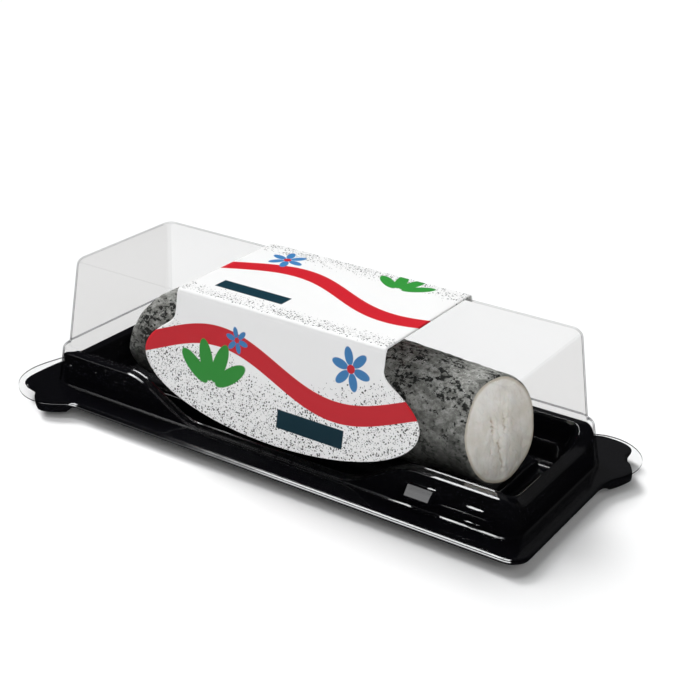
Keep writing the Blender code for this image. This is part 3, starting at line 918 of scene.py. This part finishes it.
def card_rows():
    """Rows of the card, each with its left end, right end, Y and Z, and the row of the front fold."""
    top_y = DOME_TOP[1] + CARD_GAP
    top_z = LEDGE_Z + DOME_RISE + CARD_GAP
    fold_z = top_z - CARD_FOLD_UP
    lean = (COLLAR_TOP[1] - DOME_TOP[1]) / (DOME_RISE - COLLAR_RISE)
    start, end = math.radians(-89.0), math.radians(55.0)
    turns = [math.radians(90 * k / CARD_FOLD_STEPS) for k in range(1, CARD_FOLD_STEPS + 1)]

    def wall_y(z):
        return top_y + lean * (top_z - z)

    rows = []
    for step in range(LOBE_STEPS + 1):
        angle = start + (end - start) * step / LOBE_STEPS
        z = LEDGE_Z + LOBE_RISE + LOBE_DEPTH * math.sin(angle)
        half = LOBE_HALF * math.cos(angle)
        ends = (LOBE_X - half, LOBE_X + half)
        if angle > 0.0:
            ends = (-blended(BAND_LEFT, max(half - LOBE_X, 0)), blended(BAND_RIGHT, half + LOBE_X))
        rows.append((*ends, -wall_y(z), z))
    band = [(-wall_y(z), z) for z in np.linspace(rows[-1][3], fold_z, 10)[1:]]
    for a in turns:
        band.append((-(top_y - CARD_FOLD_IN * (1 - math.cos(a))), fold_z + CARD_FOLD_UP * math.sin(a)))
    front_fold = len(rows) + len(band) - 1
    band += [(y, top_z) for y in np.linspace(-(top_y - CARD_FOLD_IN), top_y - CARD_FOLD_IN, 40)[1:]]
    for a in turns:
        band.append((top_y - CARD_FOLD_IN * (1 - math.sin(a)), top_z - CARD_FOLD_UP * (1 - math.cos(a))))
    band += [(wall_y(z), z) for z in np.linspace(fold_z, top_z - CARD_BACK, 4)[1:]]
    rows += [(-BAND_LEFT, BAND_RIGHT, y, z) for y, z in band]
    return rows, front_fold


def build_label(material):
    """The card: rows down the front lobe, over the dome and down the short back fold."""
    rows, front_fold = card_rows()
    path = np.array([row[2:] for row in rows])
    ahead = np.gradient(path, axis=0)
    ahead /= np.linalg.norm(ahead, axis=1)[:, None]
    out = np.stack([-ahead[:, 1], ahead[:, 0]], axis=1)
    along = np.concatenate([[0.0], np.cumsum(np.linalg.norm(np.diff(path, axis=0), axis=1))])
    along = along[front_fold] - along
    verts = []
    uvs = []
    for offset in (0.0, CARD_THICK):
        for (left, right, _, _), place, o, v in zip(rows, path, out, along):
            y, z = place + o * offset
            for c in range(CARD_COLUMNS + 1):
                x = left + (right - left) * c / CARD_COLUMNS
                verts.append((x + PACK_X, y, z))
                uvs.append((x / UV_UNIT, v / UV_UNIT))
    n = CARD_COLUMNS + 1
    per = len(rows) * n
    faces = []
    for r in range(len(rows) - 1):
        for c in range(CARD_COLUMNS):
            a, b, d, e = r * n + c, r * n + c + 1, (r + 1) * n + c + 1, (r + 1) * n + c
            faces.append((per + a, per + b, per + d, per + e))
            faces.append((a, e, d, b))
        for c in (0, CARD_COLUMNS):
            a, e = r * n + c, (r + 1) * n + c
            faces.append((a, per + a, per + e, e))
    for r in (0, len(rows) - 1):
        for c in range(CARD_COLUMNS):
            a, b = r * n + c, r * n + c + 1
            faces.append((a, b, per + b, per + a))
    obj = mesh_piece("label_card", verts, faces, material, "label")
    layer = obj.data.uv_layers.new(name="print")
    for loop in obj.data.loops:
        layer.data[loop.index].uv = uvs[loop.vertex_index]
    return obj


# Stage

def add_floor():
    """A wide pale matte floor that the gloss of the sheets doesn't mirror."""
    half = 40
    mesh = bpy.data.meshes.new("floor")
    corners = [(-half, -half, 0), (half, -half, 0), (half, half, 0), (-half, half, 0)]
    mesh.from_pydata(corners, [], [(0, 1, 2, 3)])
    floor = bpy.data.objects.new("floor", mesh)
    g = Graph("floor")
    g.set(Base_Color=g.mix(g.noise(g.coords(), 3.0), (0.87, 0.87, 0.87), (0.88, 0.88, 0.88)),
          Roughness=0.9, Specular_IOR_Level=0.0)
    mesh.materials.append(g.material)
    bpy.context.scene.collection.objects.link(floor)
    floor.visible_glossy = False


def add_world():
    """Dim surroundings with one bright oblong window overhead and two soft glows, for the gloss."""
    world = bpy.data.worlds.new("world")
    world.use_nodes = True
    nodes = Nodes(world.node_tree)
    direction = nodes.coords("Generated")
    x, y, z = nodes.split(direction)
    off_x = nodes.size(nodes.math("ADD", x, 0.27))
    off_y = nodes.size(nodes.math("ADD", y, 0.02))
    window = nodes.math("MULTIPLY", nodes.between(off_x, 0.23, 0.31, 1.0, 0.0),
                        nodes.between(off_y, 0.09, 0.13, 1.0, 0.0))
    window = nodes.math("MULTIPLY", window, nodes.between(z, 0.0, 0.2, 0.0, 6.8))
    above = nodes.between(nodes.toward(direction, (-0.45, -0.38, 0.81)), 0.93, 0.975, 0.0, 1.15)
    behind = nodes.between(nodes.toward(direction, (-0.10, 0.85, 0.50)), 0.82, 0.97, 0.0, 0.05)
    dim = 0.008
    total = nodes.math("ADD", nodes.math("ADD", window, above), nodes.math("ADD", behind, dim))
    background = world.node_tree.nodes["Background"]
    background.inputs[0].default_value = (0.98, 0.99, 1.0, 1.0)
    nodes.put(background.inputs[1], total)
    bpy.context.scene.world = world


def add_sun(name, toward, strength, angle):
    """A wide soft light that shines from one side on everything alike, with no mirror image."""
    data = bpy.data.lights.new(name, "SUN")
    data.energy = strength
    data.angle = math.radians(angle)
    light = bpy.data.objects.new(name, data)
    light.rotation_euler = Vector(toward).to_track_quat("Z", "Y").to_euler()
    bpy.context.scene.collection.objects.link(light)
    light.visible_glossy = False


def add_camera():
    """The photo's view, from the front right and above. The place is in metres."""
    yaw, pitch, roll = (math.radians(v) for v in (32.96967, 24.83211, 1.31287))
    place = (0.249961, -0.363180, 0.236518)
    focal_px = 1402.109
    photo_px = 700.0
    sensor_mm = 36.0
    ahead = Vector((-math.sin(yaw) * math.cos(pitch), math.cos(yaw) * math.cos(pitch), -math.sin(pitch)))
    right = ahead.cross(Vector((0, 0, 1))).normalized()
    up = right.cross(ahead)
    x = math.cos(roll) * right + math.sin(roll) * up
    y = -math.sin(roll) * right + math.cos(roll) * up
    matrix = Matrix((x, y, -ahead)).transposed().to_4x4()
    matrix.translation = Vector(place)
    data = bpy.data.cameras.new("camera")
    data.sensor_width = sensor_mm
    data.lens = focal_px * sensor_mm / photo_px
    data.clip_start = 0.01
    camera = bpy.data.objects.new("camera", data)
    camera.matrix_world = matrix
    bpy.context.scene.collection.objects.link(camera)
    bpy.context.scene.camera = camera


def main():
    black = black_plastic()
    build_tray(black)
    wall_lug("tray_lug", x0=57.4, x1=67.0, z_top=13.6, z_foot=10.5, reach=3.1, material=black)
    pressed_ribs("tray_ribs", RIBS, black)
    small_marks("tray_marks", MARKS, black)
    build_lid(clear_plastic())
    build_label(printed_card())
    build_log(ash_rind(), cheese_paste())
    add_floor()
    add_world()
    add_sun("key", (-0.72, 0.25, 0.66), 3.1, 20)
    add_sun("fill", (0.80, -0.62, 0.55), 1.40, 60)
    bpy.context.scene.view_settings.view_transform = "Standard"
    add_camera()


main()
